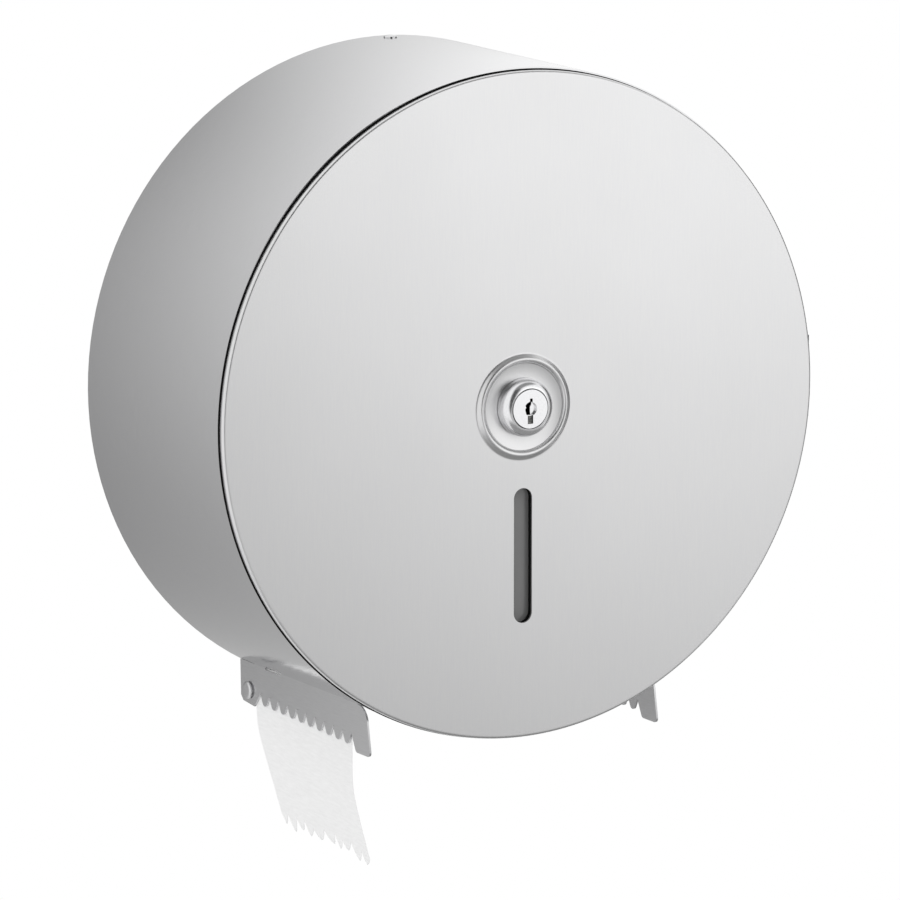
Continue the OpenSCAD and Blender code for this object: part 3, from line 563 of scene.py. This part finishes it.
plugBlank = lathe("lock plug", plugOutline(lock, cover["front"]), lock["drop"], lock["segments"])
plugBlank.materials.append(satinChrome)
plugCutters = []
# the cut faces take each cutter's finish; the keyway's near-black finish is painted shade in the
# deep slot
for name, ring, depth, finish in (("mouth", mouthRing, lock["mouthDepth"], satinChrome),
                                  ("keyway", keywayRing, lock["keywayDepth"], keywayShadeBrass),
                                  ("tumblers", tumblerRing, lock["tumblerDepth"], tumblerNickel)):
    plugCutters.append(bar(name, ring, (lock["front"] - depth, lock["front"] + past),
                           z=-lock["drop"]))
    plugCutters[-1].materials.append(finish)
headMesh = lathe("lock head", headOutline(lock, cover["front"]), lock["drop"], lock["segments"])
addPiece("lock_head", headMesh, "cover", satinChrome, ["lock_housing"], sharp=30)
addPiece("lock_face", carved(plugBlank, *plugCutters), "lock", satinChrome,
         ["lock_plug"], sharp=25)
print("lock turned and its keyway cut")


softEdge = {
    "width": 0.18,      # of the rounded edge
    "bend": 30,         # degrees above which an edge is rounded
    "merge": 0.002, "flatness": 0.5,        # mm and degrees within which the copy is joined up
}


def softened(name, node, finish, settings):
    # a copy of a node's mesh, merged and with its flat faces whole, its sharp edges rounded
    mesh = nodes[node].data.copy()
    mesh.materials.clear()
    work = bmesh.new()
    work.from_mesh(mesh)
    bmesh.ops.remove_doubles(work, verts=work.verts, dist=settings["merge"] * mm)
    bmesh.ops.dissolve_limit(work, angle_limit=math.radians(settings["flatness"]),
                             verts=work.verts, edges=work.edges)
    work.to_mesh(mesh)
    work.free()
    piece = addPiece(name, mesh, body_of(nodes[node])[0], finish, [node],
                     sharp=settings["bend"])
    edges = piece.modifiers.new("edges", "BEVEL")
    edges.width = settings["width"] * mm
    edges.segments = 2
    edges.limit_method = "ANGLE"
    edges.angle_limit = math.radians(settings["bend"])


softened("left_bar_soft", "left_tear_bar", barSteel, softEdge)
softened("right_bar_soft", "right_tear_bar", barSteel, softEdge)
print("tear bars' edges rounded")


rivetLow, rivetHigh = inMm(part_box("tear_bar_rivets"))
rivet = {
    "head": (rivetHigh[2] - rivetLow[2]) / 2, "headHeight": 1.6,
    "crown": 1.4, "flange": 0.55, "flangeEdge": 0.15,   # curved and straight part of the head
    "gap": 0.45, "neck": 2.9,                           # under the head
    "shank": 2.0, "grip": 1.8, "foot": 2.96, "footHeight": 1.0,
    "depth": -(rivetLow[1] + rivetHigh[1]) / 2, "height": (rivetLow[2] + rivetHigh[2]) / 2,
    "segments": 72,
}
rivet["face"] = rivetHigh[0] - rivet["headHeight"]


def rivetOutline(settings):
    # half section along the rivet: foot, shank through both sheets, neck that leaves a gap under
    # the head, the head's straight flange and its low elliptical crown
    head, neck, foot, shank = (settings[key] for key in ("head", "neck", "foot", "shank"))
    grip, gap, bevel = settings["grip"], settings["gap"], settings["flangeEdge"]
    footEnd, top = -grip - settings["footHeight"], gap + settings["flange"]
    crown = arcPoints((head - settings["crown"], top),
                      (settings["crown"], settings["headHeight"] - top), 0, 90, count=10)
    return np.vstack([[[axisHole, footEnd], [foot, footEnd], [foot, -grip], [shank, -grip],
                       [shank, 0], [neck, 0], [neck, gap], [head - bevel, gap],
                       [head, gap + bevel]], crown, [[axisHole, settings["headHeight"]]]])


def sideRivet(settings, side):
    # the outline (radius, along) turned about a level line that runs out of the drum's side:
    # x = side (face + along), y = radius cos a - depth, z = side radius sin a + height, where
    # side is 1 at the right and -1 at the left
    angle = np.linspace(0, 2 * np.pi, settings["segments"], endpoint=False)
    outline = rivetOutline(settings)
    radius, along = outline[:, 0], outline[:, 1]
    points = np.empty((len(outline), settings["segments"], 3))
    points[..., 0] = side * (settings["face"] + along)[:, None]
    points[..., 1] = radius[:, None] * np.cos(angle) - settings["depth"]
    points[..., 2] = side * radius[:, None] * np.sin(angle) + settings["height"]
    return meshFromGrid("side rivet", points, closeAcross=True, closeAlong=True)


bothRivets = bmesh.new()
for side in (1, -1):
    bothRivets.from_mesh(sideRivet(rivet, side))
rivetMesh = bpy.data.meshes.new("bar rivets")
bothRivets.to_mesh(rivetMesh)
bothRivets.free()
addPiece("bar_rivets", rivetMesh, "housing", barSteel, ["tear_bar_rivets"])
print("tear bars riveted")


rollLow, rollHigh = inMm(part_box("paper_roll"))
roll = {
    "radius": (rollHigh[0] - rollLow[0]) / 2, "core": 24.0,
    "rear": -rollHigh[1], "front": -rollLow[1], "corner": 0.8,
    "unevenness": 0.12, "rings": 90, "seed": 5,     # of the windings that show on both faces
}


def rollOutline(settings):
    # half section: both faces as rings of windings, level + a seeded step up to the unevenness,
    # with rounded outer corners
    seeded = np.random.default_rng(settings["seed"])
    corner, rings = settings["corner"], settings["rings"]
    edge = settings["radius"] - corner
    radius = np.linspace(settings["core"], edge, rings)
    rear, front = (seeded.uniform(0, settings["unevenness"], rings) for _ in range(2))
    rearCorner = arcPoints((edge, settings["rear"] + corner), (corner, corner), -90, 0, count=5)
    frontCorner = arcPoints((edge, settings["front"] - corner), (corner, corner), 0, 90, count=5)
    return np.vstack([np.stack([radius, settings["rear"] + rear], axis=1), rearCorner, frontCorner,
                      np.stack([radius, settings["front"] - front], axis=1)[::-1]])


addPiece("wound_roll", lathe("wound roll", rollOutline(roll)), "roll", woundTissue,
         ["paper_roll"])
print("roll wound")


tailLow, tailHigh = inMm(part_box("tissue_tail"))
tail = {
    "rear": -tailHigh[1], "front": -tailLow[1],
    "thickness": 0.12, "gap": 0.12,                 # clear of the roll and of the bar
    "freeFrom": 139.0,                              # depth at which the paper leaves the bar
    "rearSlope": 0.30, "rearStart": 8.0,            # lean of the rear edge, and where it begins
    "frontSlope": 0.29, "frontStart": 18.0,         # and of the front edge
    "softness": 6.0,                                # of the bend into the lean
    "wave": 0.7, "waveGrowth": 50.0,                # height of the waves at that depth below
    "wavesAcross": 1.4, "wavePhase": 0.15, "waveFall": 30.0,
    "rows": 120, "columns": 300, "closing": 0.35,   # how far the rows close up at the torn edge
    # the torn edge
    "seed": 11,
    "tip": 189.2, "notch": 5.0, "pitch": 8.4,       # lowest points, height and spacing of teeth
    "tipShift": 0.22,                               # sideways, in teeth
    "rootShift": 0.012,                             # sideways, in widths of the web
    "firstRoot": -0.03, "lastRoot": 1.04,           # just outside the web's edges
    "tipSpread": (-1.6, 1.8), "rootSpread": (-1.4, 1.4), "firstLift": 4,
    "bulge": 0.9,                                   # how far a tooth's flanks curve out
    "fringe": 0.16, "fringePoints": 260,
}
tail["rollX"] = -roll["radius"] - tail["gap"]
tail["barX"] = tailLow[0] + tail["gap"]


def tornEdge(settings, across):
    # drop of the torn edge: seeded tips and roots joined by straight lines, + bulge x sin(pi u)
    # with u from 0 at a root to 1 at a tip, + a fine ragged fringe
    seeded = np.random.default_rng(settings["seed"])
    count = int(round((settings["front"] - settings["rear"]) / settings["pitch"]))
    tipShift, rootShift = settings["tipShift"], settings["rootShift"]
    tips = (np.arange(count) + 0.5 + seeded.uniform(-tipShift, tipShift, count)) / count
    between = (tips[:-1] + tips[1:]) / 2 + seeded.uniform(-rootShift, rootShift, count - 1)
    roots = np.concatenate([[settings["firstRoot"]], between, [settings["lastRoot"]]])
    places = np.sort(np.concatenate([tips, roots]))
    levels = np.empty(len(places))
    levels[1::2] = settings["tip"] + seeded.uniform(*settings["tipSpread"], count)
    levels[0::2] = (settings["tip"] - settings["notch"]
                    + seeded.uniform(*settings["rootSpread"], count + 1))
    levels[0] -= settings["firstLift"]
    level = np.interp(across, places, np.arange(len(places)) % 2)
    ragged = np.linspace(0, 1, settings["fringePoints"])
    fringe = np.interp(across, ragged, seeded.normal(0, settings["fringe"], len(ragged)))
    return (np.interp(across, places, levels) + settings["bulge"] * np.sin(np.pi * level)
            + fringe)


def leaned(free, slope, start, softness):
    # inward lean below the bar: slope x the smooth ramp (u + sqrt(u^2 + softness^2)) / 2 with
    # u = free - start, less what the ramp has at the bar
    u = free - start
    ramp = (u + np.sqrt(u ** 2 + softness ** 2)) / 2
    rest = (-start + math.sqrt(start ** 2 + softness ** 2)) / 2
    return slope * (ramp - rest)


def tissueTail(settings):
    # a strip from the roll's side to the bar's inner face and on below it:
    # z = -drop, where drop = torn edge ((1 + closing) s - closing s^2) and s runs down the strip
    # x runs from the roll to the bar in step with the drop, then leans in and waves a little
    # y runs from the rear to the front
    across = np.linspace(0, 1, settings["columns"])
    share = np.linspace(0, 1, settings["rows"])[:, None]
    closing = settings["closing"]
    drop = tornEdge(settings, across) * ((1 + closing) * share - closing * share ** 2)
    free = np.clip(drop - settings["freeFrom"], 0, None)
    held = np.clip(drop / settings["freeFrom"], 0, 1)
    rear = leaned(free, settings["rearSlope"], settings["rearStart"], settings["softness"])
    front = leaned(free, settings["frontSlope"], settings["frontStart"], settings["softness"])
    turns = 2 * np.pi * (settings["wavesAcross"] * across + settings["wavePhase"])
    wave = (settings["wave"] * (free / settings["waveGrowth"])
            * np.sin(turns + free / settings["waveFall"]))
    points = np.empty((settings["rows"], settings["columns"], 3))
    points[..., 0] = settings["rollX"] + (settings["barX"] - settings["rollX"]) * held
    points[..., 0] += rear + (front - rear) * across + wave
    points[..., 1] = -(settings["rear"] + (settings["front"] - settings["rear"]) * across)
    points[..., 2] = -drop
    return points


tailPoints = tissueTail(tail)
tissueSheet = addPiece("hanging_tissue", meshFromGrid("hanging tissue", tailPoints), "housing",
                       hangingTissue, ["tissue_tail"])
thickness = tissueSheet.modifiers.new("thickness", "SOLIDIFY")
thickness.thickness = tail["thickness"] * mm
print("tissue hung")


studio = {
    "floorHeight": -0.6, "floorRadius": 1.2, "fade": 0.35,      # metres
    "floorColour": "#e9e9e9", "floorRoughness": 0.9,
    "floorRings": 12, "floorSegments": 96, "floorHole": 0.001,
    "worldDiffuse": 0.93,       # the white world's strength as light
}


def makeFloor(settings):
    # a pale disc below the object, x = r cos a and y = r sin a, fading out at its edge
    angle = np.linspace(0, 2 * np.pi, settings["floorSegments"], endpoint=False)
    radii = np.linspace(settings["floorHole"], settings["floorRadius"], settings["floorRings"])
    radii = radii[:, None] / mm
    points = np.empty((settings["floorRings"], settings["floorSegments"], 3))
    points[..., 0] = radii * np.cos(angle)
    points[..., 1] = radii * np.sin(angle)
    points[..., 2] = settings["floorHeight"] / mm
    floor = bpy.data.objects.new("studio floor",
                                 meshFromGrid("studio floor", points, closeAcross=True))
    bpy.context.scene.collection.objects.link(floor)
    material, tree, place = newMaterial("matt studio floor")
    flat = addNode(tree, "ShaderNodeVectorMath", {0: place, 1: (1, 1, 0)}, operation="MULTIPLY")
    far = addNode(tree, "ShaderNodeVectorMath", {0: flat.outputs[0]}, operation="LENGTH")
    fade = addNode(tree, "ShaderNodeMapRange", {
        "Value": far.outputs["Value"], "From Min": settings["floorRadius"] - settings["fade"],
        "From Max": settings["floorRadius"], "To Min": 1.0, "To Max": 0.0})
    shader = addNode(tree, "ShaderNodeBsdfPrincipled", {
        "Base Color": linear(settings["floorColour"]), "Roughness": settings["floorRoughness"],
        "Alpha": fade.outputs[0]})
    addNode(tree, "ShaderNodeOutputMaterial", {"Surface": shader.outputs[0]})
    floor.data.materials.append(material)


def makeWorld(settings):
    # white where the camera, a reflection or a view through glass meets it, and softer as light
    world = bpy.data.worlds.new("studio")
    tree = clearedTree(world)
    rays = addNode(tree, "ShaderNodeLightPath")
    seen = addNode(tree, "ShaderNodeMath", {
        0: rays.outputs["Is Camera Ray"], 1: rays.outputs["Is Glossy Ray"]}, operation="MAXIMUM")
    shown = addNode(tree, "ShaderNodeMath", {
        0: seen.outputs[0], 1: rays.outputs["Is Transmission Ray"]}, operation="MAXIMUM")
    strength = addNode(tree, "ShaderNodeMapRange", {
        "Value": shown.outputs[0], "To Min": settings["worldDiffuse"], "To Max": 1.0})
    background = addNode(tree, "ShaderNodeBackground", {
        "Color": (1, 1, 1, 1), "Strength": strength.outputs[0]})
    addNode(tree, "ShaderNodeOutputWorld", {"Surface": background.outputs[0]})
    bpy.context.scene.world = world


def aimed(data, name, position, target):
    # an object at a point whose own +Z looks away from the target
    holder = bpy.data.objects.new(name, data)
    bpy.context.scene.collection.objects.link(holder)
    position, target = Vector(position), Vector(target)
    aim = (position - target).to_track_quat("Z", "Y")
    holder.matrix_world = Matrix.Translation(position) @ aim.to_matrix().to_4x4()
    return holder


def addSoftbox(name, position, target, size, power):
    # a square area lamp aimed at a point, which the steel doesn't mirror
    data = bpy.data.lights.new(name, "AREA")
    data.size = size
    data.energy = power
    aimed(data, name, position, target).visible_glossy = False


def addCard(name, position, target, size, middle, sideways=0.0, upwards=0.0, outwards=0.0,
            arch=0.0, least=0.0, most=1.1, fade=0.3):
    # a card that only reflections meet and that fades out over the share fade of its half width
    # brightness = middle + sideways x + upwards y + outwards |(x, y)| - arch x^2, in metres on
    # the card and between least and most
    half = np.array(size) / 2 / mm
    corners = np.array([[[-half[0], -half[1], 0], [half[0], -half[1], 0]],
                        [[-half[0], half[1], 0], [half[0], half[1], 0]]])
    holder = aimed(meshFromGrid(name, corners), name, position, target)
    material, tree, place = newMaterial(name)
    slope = addNode(tree, "ShaderNodeVectorMath", {0: place, 1: (sideways, upwards, 0)},
                    operation="DOT_PRODUCT")
    span = addNode(tree, "ShaderNodeVectorMath", {0: place}, operation="LENGTH")
    level = addNode(tree, "ShaderNodeMath", {
        0: span.outputs["Value"], 1: outwards, 2: middle}, operation="MULTIPLY_ADD")
    squares = addNode(tree, "ShaderNodeVectorMath", {0: place, 1: place}, operation="MULTIPLY")
    arched = addNode(tree, "ShaderNodeVectorMath", {0: squares.outputs[0], 1: (-arch, 0, 0)},
                     operation="DOT_PRODUCT")
    tilted = addNode(tree, "ShaderNodeMath", {0: slope.outputs["Value"], 1: level.outputs[0]},
                     operation="ADD")
    total = addNode(tree, "ShaderNodeMath", {0: tilted.outputs[0], 1: arched.outputs["Value"]},
                    operation="ADD")
    held = addNode(tree, "ShaderNodeClamp", {
        "Value": total.outputs[0], "Min": least, "Max": most})
    flat = addNode(tree, "ShaderNodeVectorMath", {0: place, 1: (2 / size[0], 2 / size[1], 0)},
                   operation="MULTIPLY")
    away = addNode(tree, "ShaderNodeVectorMath", {0: flat.outputs[0]}, operation="LENGTH")
    opacity = addNode(tree, "ShaderNodeMapRange", {
        "Value": away.outputs["Value"], "From Min": 1.0 - fade, "From Max": 1.0,
        "To Min": 1.0, "To Max": 0.0}, interpolation_type="SMOOTHSTEP")
    glow = addNode(tree, "ShaderNodeEmission", {"Strength": held.outputs[0]})
    clear = addNode(tree, "ShaderNodeBsdfTransparent")
    mixed = addNode(tree, "ShaderNodeMixShader", {
        0: opacity.outputs[0], 1: clear.outputs[0], 2: glow.outputs[0]})
    addNode(tree, "ShaderNodeOutputMaterial", {"Surface": mixed.outputs[0]})
    holder.data.materials.append(material)
    for rays in ("visible_camera", "visible_diffuse", "visible_transmission", "visible_shadow"):
        setattr(holder, rays, False)


keyLight = {"position": (0.9, -1.6, 1.5), "target": (0, -0.06, 0), "size": 1.2, "power": 14}
# the cards that give the steel its gradients and its darker edges, in metres
cards = {
    "card behind": {
        "position": (-0.054, 0.30, 0.166), "target": (-0.054, 0, 0.166), "size": (2.4, 2.4),
        "middle": -0.101, "sideways": -0.405, "upwards": 2.228, "outwards": 3.456,
        "least": 0.295, "fade": 0.2},
    "card in front at the right": {
        "position": (0.36, -0.80, -0.14), "target": (0, -0.12, 0), "size": (1.8, 1.3),
        "middle": 1.07, "sideways": 0.96, "upwards": 2.02, "arch": 4.6, "least": 0.55,
        "most": 1.3},
    "dark card at the left front": {
        "position": (-0.146, -0.76, 0.262), "target": (0, -0.12, 0), "size": (0.56, 1.25),
        "middle": 0.06},
    "dark card above": {
        "position": (0.13, -0.5, 0.62), "target": (0, -0.12, 0), "size": (1.3, 0.6),
        "middle": 0.27, "fade": 0.4},
    "dark card at the right": {
        "position": (0.886, 0.036, -0.05), "target": (0, -0.12, 0), "size": (1.1, 1.6),
        "middle": 0.06, "fade": 0.25},
    "grey card below": {
        "position": (0.1, -0.2, -0.55), "target": (0, -0.1, 0), "size": (1.6, 1.1),
        "middle": 0.3},
}

makeFloor(studio)
makeWorld(studio)
addSoftbox("key softbox", **keyLight)
for name, settings in cards.items():
    addCard(name, **settings)
bpy.context.scene.view_settings.view_transform = "Standard"
print("studio lit")
